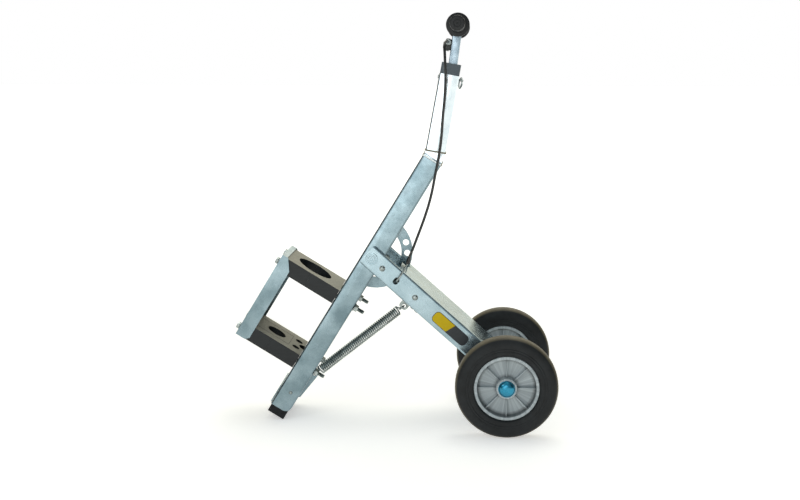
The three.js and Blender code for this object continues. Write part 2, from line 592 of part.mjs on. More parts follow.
// ---------------------------------------------------------------- assembly
buildPost();
buildFoot();
buildMast();
buildElbow();
buildHandle();
buildLever();
buildSector();
buildStrap();
buildBlock('upper_block', cradle.upper, cradle.upperBore);
buildBlock('lower_block', cradle.lower, cradle.lowerBore, [
  [cradle.smallX, -cradle.smallY, cradle.smallBore], [cradle.smallX, cradle.smallY, cradle.smallBore],
  [cradle.notchX, 0, cradle.notch],
]);
buildClampBolts();
buildArmChannel();
buildArmPivot();
buildArmScrews();

const springAxis = new THREE.Vector2().subVectors(springTop, springFoot);
const springLength = springAxis.length();
springAxis.normalize();
const lowerHole = springFoot.clone().addScaledVector(springAxis, -hookReach);
const upperHole = springTop.clone().addScaledVector(springAxis, hookReach);
const [hangerX, hangerZ] = carry(columnFrame, armFrame, upperHole.x, upperHole.y);
buildSpringHanger(hangerX, hangerZ);
buildSpringLug(lowerHole);
buildSpring(springAxis, springLength);
buildLock();
buildLabel();
buildCable();
buildAxle();
for (const [side, way] of bothSides) buildWheel(side, way);

export default trolley;
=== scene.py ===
# Two-wheel trolley for a demolition hammer: zinc-plated steel, a folding wheel arm, a clamping
# cradle, a T-bar and a sprung lock worked by a cable.
import json
import math

import bmesh
import bpy
from mathutils import Matrix, Vector


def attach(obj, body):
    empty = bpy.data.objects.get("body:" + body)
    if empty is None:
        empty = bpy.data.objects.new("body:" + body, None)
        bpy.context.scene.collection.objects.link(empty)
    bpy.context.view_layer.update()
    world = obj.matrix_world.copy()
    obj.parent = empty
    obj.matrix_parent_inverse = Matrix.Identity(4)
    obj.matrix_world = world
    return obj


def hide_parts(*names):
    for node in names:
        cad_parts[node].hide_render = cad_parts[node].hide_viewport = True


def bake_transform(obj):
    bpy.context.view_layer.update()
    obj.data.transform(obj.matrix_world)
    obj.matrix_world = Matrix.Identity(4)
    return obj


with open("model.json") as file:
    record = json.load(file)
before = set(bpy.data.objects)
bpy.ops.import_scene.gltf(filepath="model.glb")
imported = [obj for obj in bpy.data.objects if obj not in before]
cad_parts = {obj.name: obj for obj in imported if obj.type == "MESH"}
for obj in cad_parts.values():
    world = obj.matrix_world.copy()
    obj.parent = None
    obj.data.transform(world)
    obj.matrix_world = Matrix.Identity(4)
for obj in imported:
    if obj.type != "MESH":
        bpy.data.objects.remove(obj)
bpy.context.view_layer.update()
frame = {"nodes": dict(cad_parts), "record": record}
nodes = frame["nodes"]
bodyOf = {node: body for body, held in frame["record"]["behaviour"]["bodies"].items() for node in held}
mm = 0.001


# Local frames: pieces are modelled in millimetres, then put in place by one of these.
def frameAt(x, y, z, tilt):
    return Matrix.Translation((x, y, z)) @ Matrix.Rotation(math.radians(tilt), 4, "Y") @ Matrix.Scale(mm, 4)


pivot = (-0.056, 0, 0.421)                       # where the wheel arm folds
wheelCentre = (0.279, 0.170, 0.125)
columnTilt = 31.25
columnFrame = frameAt(*pivot, columnTilt)        # x across the post, z up along it
mastFrame = frameAt(*pivot, 10.1)
handleFrame = frameAt(0.1522, 0, 0.9906, 7.4)
armFrame = frameAt(*pivot, 41.463)               # x from the pivot towards the axle
sides = {"near": -1, "far": 1}


def wheelFrame(way):
    flip = Matrix.Rotation(math.pi if way < 0 else 0, 4, "X")
    x, y, z = wheelCentre
    return Matrix.Translation((x, way * y, z)) @ flip @ Matrix.Scale(mm, 4)


# Camera: places in metres, the lens in millimetres, the roll in degrees
view = {"place": (0.1871, -2.9107, 0.8836), "target": (0.0094, -0.0011, 0.4310), "roll": 0.094, "lens": 52.2}


def makeCamera():
    data = bpy.data.cameras.new("camera")
    data.lens = view["lens"]
    data.sensor_width = 36
    data.dof.use_dof = False
    camera = bpy.data.objects.new("camera", data)
    look = Vector(view["target"]) - Vector(view["place"])
    turn = look.to_track_quat("-Z", "Y").to_matrix() @ Matrix.Rotation(math.radians(view["roll"]), 3, "Z")
    camera.matrix_world = Matrix.Translation(view["place"]) @ turn.to_4x4()
    bpy.context.scene.collection.objects.link(camera)
    bpy.context.scene.camera = camera


makeCamera()
print("camera ready")


# Materials: tones are sRGB hex, pattern sizes millimetres, turns degrees
def linear(hexColour):
    def channel(text):
        value = int(text, 16) / 255
        return value / 12.92 if value <= 0.04045 else ((value + 0.055) / 1.055) ** 2.4
    return tuple(channel(hexColour[i:i + 2]) for i in (1, 3, 5)) + (1.0,)


# Adds one node: settings are its own properties, values and links go to its named inputs, and stops are
# a ramp's places and colours, each a hex colour or a plain grey level.
def addNode(tree, kind, settings=None, values=None, links=None, stops=()):
    node = tree.nodes.new("ShaderNode" + kind)
    for key, value in (settings or {}).items():
        setattr(node, key, value)
    for key, value in (values or {}).items():
        node.inputs[key].default_value = value
    for key, source in (links or {}).items():
        tree.links.new(source, node.inputs[key])
    if stops:
        while len(node.color_ramp.elements) < len(stops):
            node.color_ramp.elements.new(0.5)
        for element, (at, colour) in zip(node.color_ramp.elements, stops):
            element.position = at
            element.color = linear(colour) if isinstance(colour, str) else (colour, colour, colour, 1)
    return node


def newFinish(name, values):
    material = bpy.data.materials.new(name)
    material.use_nodes = True
    tree = material.node_tree
    shader = tree.nodes["Principled BSDF"]
    for key, value in values.items():
        shader.inputs[key].default_value = value
    place = addNode(tree, "TexCoord").outputs["Object"]
    return material, tree, shader, place


# Metal with a slow change of tone, a patchy gloss and fine scratches along one direction.
def platedMetal(name, look):
    material, tree, shader, place = newFinish(name, {"Metallic": look["metal"], "Roughness": look["rough"]})
    cloud = addNode(tree, "TexNoise",
                    values={"Scale": 1 / (look["cloud"] * mm), "Detail": 4, "Roughness": 0.55},
                    links={"Vector": place}).outputs["Fac"]
    tone = addNode(tree, "ValToRGB", links={"Fac": cloud}, stops=[(0.32, look["dark"]), (0.68, look["light"])])
    tree.links.new(tone.outputs["Color"], shader.inputs["Base Color"])
    stain = addNode(tree, "TexNoise", values={"Scale": 1 / (look["stain"] * mm), "Detail": 6, "Roughness": 0.7},
                    links={"Vector": place}).outputs["Fac"]
    gloss = addNode(tree, "MapRange", links={"Value": stain},
                    values={"From Min": 0.3, "From Max": 0.7, "To Min": look["rough"] - 0.07,
                            "To Max": look["rough"] + 0.10})
    tree.links.new(gloss.outputs["Result"], shader.inputs["Roughness"])
    grain = addNode(tree, "Mapping", links={"Vector": place},
                    values={"Rotation": (0, math.radians(look["turn"]), 0), "Scale": look["stretch"]})
    scratch = addNode(tree, "TexNoise", values={"Scale": 1 / (look["grain"] * mm), "Detail": 3},
                      links={"Vector": grain.outputs["Vector"]}).outputs["Fac"]
    wave = addNode(tree, "TexNoise", values={"Scale": 1 / (look["wave"] * mm), "Detail": 1},
                   links={"Vector": place}).outputs["Fac"]
    dented = addNode(tree, "Bump", values={"Strength": look["waviness"], "Distance": 0.002},
                     links={"Height": wave})
    bump = addNode(tree, "Bump", values={"Strength": look["bump"], "Distance": 0.0004},
                   links={"Height": scratch, "Normal": dented.outputs["Normal"]})
    tree.links.new(bump.outputs["Normal"], shader.inputs["Normal"])
    return material


# Bright zinc plating on cold-rolled steel: blue-grey, half glossy, cloudy at 60 mm, drawn lines 1.6 mm apart
zincPlate = {"metal": 0.92, "rough": 0.22, "light": "#95a8af", "dark": "#6e8289", "cloud": 60, "stain": 22,
             "turn": 0, "stretch": (1, 1, 0.12), "grain": 1.6, "bump": 0.08, "wave": 70, "waviness": 0.25}
bentZinc = platedMetal("zinc_plated_sheet", dict(zincPlate, turn=-columnTilt))
armZinc = platedMetal("zinc_plated_arm", dict(
    zincPlate, light="#aec2ca", dark="#93a9b1", turn=41.5, stretch=(0.12, 1, 1), bump=0.03, waviness=0.08))
# The same plating on smooth drawn tube: brighter, and closer to a mirror
tubeZinc = platedMetal("zinc_plated_tube", dict(
    zincPlate, light="#e4ecef", dark="#cdd8dd", rough=0.12, turn=-10, bump=0.02, waviness=0.05))
# The T-bar's stem: the same tube, greyer and softer; its greyer tone is painted shade
stemZincPaintedShade = platedMetal("zinc_plated_stem_painted_shade", dict(
    zincPlate, light="#aebfc9", dark="#8597a3", rough=0.26, turn=-10, cloud=30, bump=0.05))
# Zinc-plated fasteners: greyer, with the plating worn in 8 mm patches
boltZinc = platedMetal("zinc_plated_fasteners", dict(
    zincPlate, light="#b3bbb9", dark="#6d7573", rough=0.24, cloud=14, stain=8, bump=0.06, metal=1.0))
# Plated spring wire, drawn smooth along its length: a sharp light line on each turn
springWire = platedMetal("plated_spring_wire", dict(
    zincPlate, light="#b9c1bf", dark="#77817f", rough=0.16, cloud=20, stain=10, bump=0.04, metal=1.0))
# Weld bead left under the plating: dull, with a straw tone that is painted light, the cream that faces lit from
# above take
weldSteel = platedMetal("plated_weld_bead", dict(
    zincPlate, light="#b5ae9a", dark="#857f6d", rough=0.42, cloud=8, stain=5, bump=0.12, metal=0.8))
# Blue lacquer over a pressed steel dome: deep cyan, metallic, with a clear top coat
capBlue = platedMetal("blue_lacquered_steel", dict(
    zincPlate, light="#2b93b4", dark="#1e7c9b", rough=0.24, cloud=40, stain=60, bump=0.0, waviness=0.0,
    metal=1.0))
capBlue.node_tree.nodes["Principled BSDF"].inputs["Coat Weight"].default_value = 0.6


# The place seen along a wheel's axle, as a flat vector from its centre, and its length in metres.
def axleCoordinates(tree, place, way):
    centred = addNode(tree, "Mapping", values={"Location": -wheelFrame(way).translation},
                      links={"Vector": place}).outputs["Vector"]
    parts = addNode(tree, "SeparateXYZ", links={"Vector": centred}).outputs
    flat = addNode(tree, "CombineXYZ", links={"X": parts["X"], "Y": parts["Z"]}).outputs["Vector"]
    radius = addNode(tree, "VectorMath", {"operation": "LENGTH"}, links={0: flat}).outputs["Value"]
    return flat, radius


# Moulded or pressed black rubber: dark, dull, with bloom and dust; grit about 1.2 mm
def blackRubber(name, look):
    material, tree, shader, place = newFinish(name, {"Roughness": look["rough"], "Specular IOR Level": 0.35})
    dust = addNode(tree, "TexNoise", values={"Scale": 1 / (look["patch"] * mm), "Detail": 5, "Roughness": 0.65},
                   links={"Vector": place}).outputs["Fac"]
    tone = addNode(tree, "ValToRGB", links={"Fac": dust},
                   stops=[(0.35, look["dark"]), (0.75, look["light"])]).outputs["Color"]
    grit = addNode(tree, "TexNoise", values={"Scale": 1 / (1.2 * mm), "Detail": 2}, links={"Vector": place})
    bump = addNode(tree, "Bump", values={"Strength": 0.18, "Distance": 0.0003},
                   links={"Height": grit.outputs["Fac"]})
    tree.links.new(tone, shader.inputs["Base Color"])
    tree.links.new(bump.outputs["Normal"], shader.inputs["Normal"])
    return material, tree, shader, place, tone, dust


footRubber = blackRubber("black_rubber_pad", {
    "rough": 0.75, "patch": 18, "dark": "#0e0f11", "light": "#1f2123"})[0]
gripRubber = blackRubber("black_rubber_grip", {
    "rough": 0.48, "patch": 14, "dark": "#101112", "light": "#1f2224"})[0]


# Solid tyre: charcoal sidewall, and a brown band on the tread past 120 mm radius that is partly dust and partly
# painted light from above
def tyreRubber(name, way):
    material, tree, shader, place, tone, dust = blackRubber(
        name, {"rough": 0.58, "patch": 30, "dark": "#0f1213", "light": "#1f2325"})
    flat, radius = axleCoordinates(tree, place, way)
    # Brown tread band: partly dust, partly painted light from above
    dustAndLightBand = addNode(tree, "MapRange", links={"Value": radius}, values={
        "From Min": 0.1195, "From Max": 0.1240, "To Min": 0, "To Max": 0.85}).outputs["Result"]
    patchy = addNode(tree, "MapRange", links={"Value": dust},
                     values={"From Min": 0.25, "From Max": 0.6, "To Min": 0.55, "To Max": 1}).outputs["Result"]
    amount = addNode(tree, "Math", {"operation": "MULTIPLY"}, links={0: dustAndLightBand, 1: patchy}).outputs["Value"]
    mixed = addNode(tree, "Mix", {"data_type": "RGBA"}, links={"Factor": amount, 6: tone})
    mixed.inputs[7].default_value = linear("#766d58")
    tree.links.new(mixed.outputs[2], shader.inputs["Base Color"])
    return material


# Injection-moulded polypropylene: mid grey, half matt, with flow streaks that run out from the boss, and
# painted shade round the boss and up the rim's inner wall, given by distance from the axle
def hubPlastic(name, way):
    material, tree, shader, place = newFinish(name, {"Roughness": 0.42, "Specular IOR Level": 0.5})
    flat, radius = axleCoordinates(tree, place, way)
    direction = addNode(tree, "VectorMath", {"operation": "NORMALIZE"}, links={0: flat}).outputs["Vector"]
    streak = addNode(tree, "TexNoise", values={"Scale": 9, "Detail": 5, "Roughness": 0.75},
                     links={"Vector": direction}).outputs["Fac"]
    tone = addNode(tree, "ValToRGB", links={"Fac": streak},
                   stops=[(0.3, "#929b9e"), (0.5, "#a9b2b5"), (0.68, "#c3cbcd")])
    reach = addNode(tree, "MapRange", values={"From Max": 0.080}, links={"Value": radius}).outputs["Result"]
    # Painted shade: darker rings round the boss and up the rim's inner wall
    hubPaintedShade = addNode(tree, "ValToRGB", links={"Fac": reach}, stops=[
        (0.31, 1.0), (0.33, 0.55), (0.42, 1.0), (0.78, 1.0), (0.86, 0.42), (0.890, 0.30), (0.897, 1.0)])
    mixed = addNode(tree, "Mix", {"data_type": "RGBA", "blend_type": "MULTIPLY"}, {"Factor": 1},
                    {6: tone.outputs["Color"], 7: hubPaintedShade.outputs["Color"]})
    tree.links.new(mixed.outputs[2], shader.inputs["Base Color"])
    return material


# Plain plastic or print with fine marks 2 mm apart, which stretch draws out into cutter lines
def markedPlastic(name, look):
    material, tree, shader, place = newFinish(name, {
        "Roughness": look["rough"], "Specular IOR Level": look["shine"]})
    turned = addNode(tree, "Mapping", links={"Vector": place},
                     values={"Rotation": (0, math.radians(-columnTilt), 0), "Scale": look["stretch"]})
    marks = addNode(tree, "TexNoise", values={"Scale": 1 / (2 * mm), "Detail": 4, "Roughness": 0.6},
                    links={"Vector": turned.outputs["Vector"]}).outputs["Fac"]
    tone = addNode(tree, "ValToRGB", links={"Fac": marks}, stops=[(0.3, look["dark"]), (0.7, look["light"])])
    bump = addNode(tree, "Bump", values={"Strength": 0.15, "Distance": 0.0004}, links={"Height": marks})
    tree.links.new(tone.outputs["Color"], shader.inputs["Base Color"])
    tree.links.new(bump.outputs["Normal"], shader.inputs["Normal"])
    return material


# Black polyamide block: saw marks along its dark skin, and cutter lines on the faces above and below, whose
# paler tone is painted light
blockSkin = markedPlastic("black_polyamide_skin", {
    "rough": 0.45, "shine": 0.4, "stretch": (0.06, 1, 1), "dark": "#0d1112", "light": "#1a1f21"})
blockFacePaintedLight = markedPlastic("polyamide_face_painted_light", {
    "rough": 0.6, "shine": 0.4, "stretch": (1, 0.1, 1), "dark": "#918d7f", "light": "#aba797"})
# Acetal collar: dark slate grey, satin, with a fine moulded grain
collarPlastic = markedPlastic("slate_acetal_collar", {
    "rough": 0.4, "shine": 0.5, "stretch": (1, 1, 1), "dark": "#3c464d", "light": "#4a555c"})
# Extruded black PVC sheath: smooth and rather glossy
cableSheath = markedPlastic("black_pvc_sheath", {
    "rough": 0.3, "shine": 0.5, "stretch": (1, 1, 1), "dark": "#0c0d0c", "light": "#191b19"})
# Black powder coat on the lever: orange-peel skin
leverCoat = markedPlastic("black_powder_coat", {
    "rough": 0.38, "shine": 0.5, "stretch": (1, 1, 1), "dark": "#151816", "light": "#272b28"})
# Printed vinyl label, with a faint cast of its own in each colour
labelYellow = markedPlastic("yellow_printed_vinyl", {
    "rough": 0.4, "shine": 0.2, "stretch": (1, 1, 1), "dark": "#c7a900", "light": "#d3b600"})
labelBlack = markedPlastic("black_printed_vinyl", {
    "rough": 0.33, "shine": 0.5, "stretch": (1, 1, 1), "dark": "#0c151b", "light": "#14212a"})
print("materials ready")


# Turns a finished bmesh into a piece that rides on its body, and hides the nodes it stands for.
def addPiece(name, bm, finish, stands=(), place=None, body=None, sharp=35):
    if place is not None:
        bm.transform(place)
    bmesh.ops.remove_doubles(bm, verts=bm.verts, dist=2e-6)
    bmesh.ops.recalc_face_normals(bm, faces=bm.faces)
    for face in bm.faces:
        face.smooth = True
    mesh = bpy.data.meshes.new(name)
    bm.to_mesh(mesh)
    bm.free()
    for material in finish if isinstance(finish, list) else [finish]:
        mesh.materials.append(material)
    mesh.set_sharp_from_angle(angle=math.radians(sharp))
    piece = bpy.data.objects.new(name, mesh)
    bpy.context.scene.collection.objects.link(piece)
    if body != "":
        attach(piece, body or bodyOf[stands[0]])
    if stands:
        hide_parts(*stands)
    return piece


# A copy of a node's own shape with its edges eased, as the real bends, sawn ends and castings are.
def easedCopy(node, finish, ease=0.5, steps=2, sharp=35):
    bm = bmesh.new()
    bm.from_mesh(nodes[node].data)
    bmesh.ops.remove_doubles(bm, verts=bm.verts, dist=1e-5)
    bmesh.ops.dissolve_limit(bm, angle_limit=math.radians(1), verts=bm.verts, edges=bm.edges)
    piece = addPiece(node + "_finished", bm, finish, (node,), sharp=sharp)
    edge = piece.modifiers.new("ease", "BEVEL")
    edge.width = ease * mm
    edge.segments = steps
    edge.limit_method = "ANGLE"
    edge.angle_limit = math.radians(sharp)
    edge.harden_normals = True
    return piece


# Spins an outline of (radius, y) points round the Y axis.
def spun(points, steps=48):
    bm = bmesh.new()
    corners = [bm.verts.new((r, y, 0)) for r, y in points]
    edges = [bm.edges.new((a, b)) for a, b in zip(corners, corners[1:])]
    bmesh.ops.spin(bm, geom=corners + edges, cent=(0, 0, 0), axis=(0, 1, 0), angle=math.tau, steps=steps,
                   use_merge=True, use_duplicate=False)
    bmesh.ops.remove_doubles(bm, verts=bm.verts, dist=1e-4)
    return bm


# Winds a round wire round the Y axis: the section is spun and carried along a pitch at each turn.
def wound(radius, wire, turns, start, length, perTurn=28, rings=10):
    bm = bmesh.new()
    made = bmesh.ops.create_circle(bm, segments=rings, radius=wire, cap_ends=False)
    bmesh.ops.translate(bm, verts=made["verts"], vec=(radius, 0, 0))
    bmesh.ops.translate(bm, verts=made["verts"], vec=(0, start, 0))
    steps = int(turns * perTurn)
    edges = list(bm.edges)
    first = list(made["verts"])
    out = bmesh.ops.spin(bm, geom=first + edges, cent=(0, 0, 0), axis=(0, 1, 0), dvec=(0, length / steps, 0),
                         angle=math.tau * turns, steps=steps, use_merge=False, use_duplicate=False)
    last = [v for v in out["geom_last"] if isinstance(v, bmesh.types.BMVert)]
    bmesh.ops.contextual_create(bm, geom=first)
    bmesh.ops.contextual_create(bm, geom=last)
    return bm


# Adds one bmesh to another, moved by a matrix.
def joinInto(bm, extra, move):
    extra.transform(move)
    held = bpy.data.meshes.new("held")
    extra.to_mesh(held)
    extra.free()
    bm.from_mesh(held)
    bpy.data.meshes.remove(held)


# Draws a smooth tube through points, and returns its mesh and the line that it follows.
def tubeAlong(name, points, radius, resolution=6, rings=5):
    curve = bpy.data.curves.new(name, "CURVE")
    curve.dimensions = "3D"
    curve.resolution_u = resolution
    spline = curve.splines.new("BEZIER")
    spline.bezier_points.add(len(points) - 1)
    for knot, point in zip(spline.bezier_points, points):
        knot.co = point
        knot.handle_left_type = knot.handle_right_type = "AUTO"
    holder = bpy.data.objects.new(name + "_line", curve)
    bpy.context.scene.collection.objects.link(holder)
    bpy.context.view_layer.update()
    line = [v.co.copy() for v in holder.to_mesh().vertices]
    holder.to_mesh_clear()
    curve.bevel_depth = radius
    curve.bevel_resolution = rings
    curve.use_fill_caps = True
    bpy.context.view_layer.update()
    bm = bmesh.new()
    bm.from_mesh(holder.to_mesh())
    holder.to_mesh_clear()
    bpy.data.objects.remove(holder)
    bpy.data.curves.remove(curve)
    return bm, line


# Release cable: leaves the lever perch, hangs beside the column and enters the tube on the arm
cableFacts = {
    "diameter": 6.6,
    "route": [(128.9, -30.8, 951.3), (128.5, -40, 951.6), (123.5, -66, 951), (120.6, -84, 941),
              (121.6, -92, 922), (122.6, -95, 900), (123.9, -96, 869), (122, -97, 816), (118.3, -97, 774),
              (114.4, -97, 716), (110.5, -98, 685), (101.6, -99, 636), (90.3, -100, 578), (76.7, -101, 531),
              (58, -102, 479), (44.6, -102, 443.5), (39.4, -102, 431)],
    "bendStart": (0.1144, -0.097, 0.716), "bendEnd": (0.0420, -0.102, 0.437),
}


def makeCable():
    points = [Vector(p) * mm for p in cableFacts["route"]]
    bm, line = tubeAlong("release_cable", points, cableFacts["diameter"] / 2 * mm)
    cable = addPiece("release_cable_sheath", bm, cableSheath, ("release_cable",), body="")
    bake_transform(cable)


makeCable()
print("cable ready")

# Wheels: radii, and places along the axle, from the centre of each wheel
tyre = {"bead": 79.3, "shoulder": 111, "tread": 125, "half": 26, "steps": 112}
hub = {"rim": 79, "lip": 71.5, "face": 22, "web": 3, "boss": 25, "bossFace": 24, "bore": 10.3, "ribs": 8,
       "rib": 1.8, "ribTop": 18}
cap = {"radius": 20.5, "base": 24.3, "height": 11, "dome": 19, "rise": 9, "steps": 10, "axle": 10.3}


def makeTyre(side, way):
    half, bead = tyre["half"], tyre["bead"]
    outside = [(bead, half - 4.5), (bead + 1.2, half - 2.2), (bead + 4, half - 0.4), (bead + 5.4, half - 0.9),
               (bead + 7, half - 0.2), (92, half - 0.1), (93.2, half - 0.8), (94.4, half - 0.1),
               (98, half - 0.3), (99, half - 0.9), (100, half - 0.4), (106, half - 0.9),
               (tyre["shoulder"], half - 1.4), (116, half - 3), (119.5, half - 5.2), (122.2, half - 8.2),
               (124, half - 11.6), (124.8, half - 15), (tyre["tread"], half - 19)]
    closed = [(bead, -half + 4.5)] + outside + [(r, -y) for r, y in reversed(outside)]
    addPiece(f"tyre_{side}_finished", spun(closed, tyre["steps"]), tyreRubber(f"solid_rubber_tyre_{side}", way),
             (f"tyre_{side}",), wheelFrame(way), sharp=50)


def makeHub(side, way):
    web, face, lip, rim, boss, bore, bossFace = (
        hub[key] for key in ("web", "face", "lip", "rim", "boss", "bore", "bossFace"))
    outside = [(bore, bossFace - 0.4), (bore + 0.6, bossFace), (boss - 1.6, bossFace),
               (boss - 0.3, bossFace - 0.8), (boss, bossFace - 2.2), (boss + 0.8, web + 3.5),
               (boss + 3, web + 0.8), (boss + 6, web), (lip - 5, web), (lip - 2, web + 0.9),
               (lip - 0.6, web + 4), (lip, face - 1.2), (lip + 0.8, face), (rim - 1, face), (rim, face - 1)]
    closed = [(bore, 0.4 - bossFace)] + outside + [(r, -y) for r, y in reversed(outside)]
    bm = spun(closed, 96)
    for i in range(hub["ribs"]):
        for level in (1, -1):
            joinInto(bm, makeRib(level), Matrix.Rotation((i + 1) / hub["ribs"] * math.tau, 4, "Y"))
    addPiece(f"wheel_hub_{side}_finished", bm, hubPlastic(f"moulded_polypropylene_{side}", way),
             (f"wheel_hub_{side}",), wheelFrame(way), sharp=40)


# One radial rib, thinner and lower where the mould opens.
def makeRib(level):
    bm = bmesh.new()
    inner, outer = hub["boss"] - 1, hub["lip"] + 1
    bmesh.ops.create_cube(bm, size=1)
    bmesh.ops.scale(bm, verts=bm.verts, vec=(outer - inner, hub["ribTop"] - hub["web"] + 1, hub["rib"] * 2))
    bmesh.ops.translate(bm, verts=bm.verts, vec=((inner + outer) / 2, (hub["ribTop"] + hub["web"] - 1) / 2, 0))
    top = [v for v in bm.verts if v.co.y > hub["web"]]
    bmesh.ops.scale(bm, verts=top, vec=(1, 1, 0.55))
    bmesh.ops.translate(bm, verts=[v for v in top if v.co.x < 40], vec=(0, -4, 0))
    bmesh.ops.bevel(bm, geom=[e for e in bm.edges if all(v in top for v in e.verts)], offset=0.6, segments=2,
                    affect="EDGES", profile=0.5, material=-1)
    bmesh.ops.scale(bm, verts=bm.verts, vec=(1, level, 1))
    return bm


def makeCap(side, way):
    base = cap["base"]
    dome = [(cap["axle"], base), (cap["radius"] - 0.4, base), (cap["radius"], base + 0.5),
            (cap["radius"], base + 1.6), (cap["radius"] - 1.2, base + 2.2)]
    for i in range(1, cap["steps"]):
        turn = math.pi / 2 * i / cap["steps"]
        dome.append((cap["dome"] * math.cos(turn), base + 2 + cap["rise"] * math.sin(turn)))
    dome += [(0, base + cap["height"]), (0, base + 5), (cap["axle"], base + 5), (cap["axle"], base)]
    addPiece(f"axle_cap_{side}_finished", spun(dome, 64), capBlue, (f"axle_cap_{side}",), wheelFrame(way))


for side, way in sides.items():
    makeTyre(side, way)
    makeHub(side, way)
    makeCap(side, way)
    easedCopy(f"axle_spacer_{side}", boltZinc, 0.5)
easedCopy("axle", boltZinc, 0.6)
print("wheels ready")

# T-bar and its grips
grip = {"bore": 12.8, "start": 88, "end": 195, "flange": 28.5, "radius": 17.5, "ribStep": 5.2, "ribDepth": 0.8}


def makeGrip(side, way):
    bore, start, end, flange, radius = (grip[key] for key in ("bore", "start", "end", "flange", "radius"))
    line = [(bore, start), (flange - 2, start), (flange - 0.5, start + 0.7), (flange, start + 2.2),
            (flange - 0.5, start + 4), (flange - 2, start + 4.8), (radius + 2.5, start + 5.2),
            (radius, start + 8)]
    y = start + 12
    while y < end - 16:                                      # shallow finger rings
        line += [(radius - 0.2, y), (radius - grip["ribDepth"], y + 0.7), (radius - grip["ribDepth"], y + 1.7),
                 (radius - 0.2, y + 2.4)]
        y += grip["ribStep"]
    line += [(radius, end - 9), (radius + 0.5, end - 5), (radius, end - 1.8), (radius - 1.6, end - 0.3),
             (radius - 3, end), (9.4, end), (8.8, end - 0.8), (7.6, end - 0.8), (7, end), (2.6, end),
             (2, end - 1.6), (0, end - 1.6), (0, end - 4.6), (bore, end - 4.6), (bore, start)]
    bm = spun([(r, way * y) for r, y in line], 72)
    addPiece(f"grip_{side}_finished", bm, gripRubber, (f"grip_{side}",), handleFrame)


for side, way in sides.items():
    makeGrip(side, way)
easedCopy("t_bar", tubeZinc, 0.4)
easedCopy("handle_stem", stemZincPaintedShade, 0.9, 3)
easedCopy("mast_collar", collarPlastic, 1.4, 3)

# Release lever
adjuster = {"at": (-18, 0, -42), "from": -13.5, "knurlEnd": -21.5, "to": -30.5, "step": 1.7}


def makeAdjuster():
    line = [(0, adjuster["from"]), (7, adjuster["from"])]
    y = adjuster["from"]
    while y > adjuster["knurlEnd"]:                          # knurled barrel, then a plain ferrule
        line += [(7, y - 0.5), (6.4, y - 0.9), (6.4, y - 1.3), (7, y - 1.6)]
        y -= adjuster["step"]
    line += [(6.6, y - 0.4), (5.3, y - 0.6), (5.3, -28.6), (4.8, adjuster["to"]), (0, adjuster["to"])]
    bm = spun(line, 24)
    place = handleFrame @ Matrix.Translation(adjuster["at"])
    addPiece("cable_adjuster", bm, boltZinc, (), place, body="column")


easedCopy("lever_perch", leverCoat, 0.9, 3)
easedCopy("release_lever", leverCoat, 1.6, 3)
easedCopy("lever_pin", boltZinc, 0.4)
makeAdjuster()
print("handle ready")

# Column: post, mast, elbow and foot
easedCopy("column_post", bentZinc, 0.8, 3)
easedCopy("mast_tube", tubeZinc, 0.7, 3)
easedCopy("elbow_wedge", tubeZinc, 0.7, 2)
easedCopy("foot_plate", bentZinc, 0.6)
easedCopy("foot_pad", footRubber, 1.8, 3)
easedCopy("foot_rivet", boltZinc, 0.3)
easedCopy("stem_pin", boltZinc, 0.5)
easedCopy("sector_plate", bentZinc, 0.7)
easedCopy("spring_lug", bentZinc, 0.6)
weld = {"radius": 2.3, "step": 2.3, "mastHalf": 25, "mastFrom": 81, "mastTo": 131, "mastLow": 285,
        "postHalf": 72, "postDepth": 25.5, "postHigh": 285.5}


# A row of overlapping beads along each side of a joint.
def makeWelds(name, lines, place):
    bm = bmesh.new()
    for start, end in lines:
        start, end = Vector(start), Vector(end)
        count = int((end - start).length / weld["step"])
        for i in range(count + 1):
            at = start.lerp(end, i / count)
            bmesh.ops.create_icosphere(bm, subdivisions=2, radius=weld["radius"], matrix=Matrix.Translation(at))
    addPiece(name, bm, weldSteel, (), place, body="column", sharp=80)


def makeElbowWelds():
    half, low, x0, x1 = (weld[key] for key in ("mastHalf", "mastLow", "mastFrom", "mastTo"))
    around = [((x0, -half, low), (x1, -half, low)), ((x0, half, low), (x1, half, low)),
              ((x1, -half, low), (x1, half, low)), ((x0, -half, low), (x0, half, low))]
    makeWelds("mast_weld", around, mastFrame)
    wide, deep, high = (weld[key] for key in ("postHalf", "postDepth", "postHigh"))
    square = [((-deep, -wide, high), (deep, -wide, high)), ((-deep, wide, high), (deep, wide, high)),
              ((deep, -wide, high), (deep, wide, high)), ((-deep, -wide, high), (-deep, wide, high))]
    makeWelds("post_weld", square, columnFrame)


clip = {"radius": 6.4, "wire": 1.1, "turns": 2.25, "width": 3.2, "at": (136.2, 0, 461), "turn": 1.0,
        "tall": 2.0}


# Twisted wire clip that keeps the cross pin in.
def makePinClip():
    bm = wound(clip["radius"], clip["wire"], clip["turns"], -clip["width"] / 2, clip["width"],
               perTurn=32, rings=8)
    shape = Matrix.Rotation(clip["turn"], 4, "Z") @ Matrix.Diagonal((1, 1, clip["tall"], 1))
    place = mastFrame @ Matrix.Translation(clip["at"]) @ shape
    addPiece("pin_clip_finished", bm, boltZinc, ("pin_clip",), place)


makeElbowWelds()
makePinClip()
print("column ready")

# Cradle: strap, clamp blocks and their bolts
clamp = {"upper": -132, "lower": -328, "boltY": 64, "headAt": -202.6, "headDepth": 8.3,
         "nutAt": 26.3, "endAt": 54.3, "radius": 5, "pitch": 1.5, "headRadius": 9}


# Blocks have a dark skin at the sides, and on the faces above and below a paler copy that is painted light.
def makeBlock(node):
    piece = easedCopy(node, [blockSkin, blockFacePaintedLight], 1.0, 2)
    up = columnFrame.to_3x3().normalized() @ Vector((0, 0, 1))
    # Faces turned up or down take the paler copy: painted light
    for face in piece.data.polygons:
        if abs(face.normal.dot(up)) > 0.9:
            face.material_index = 1


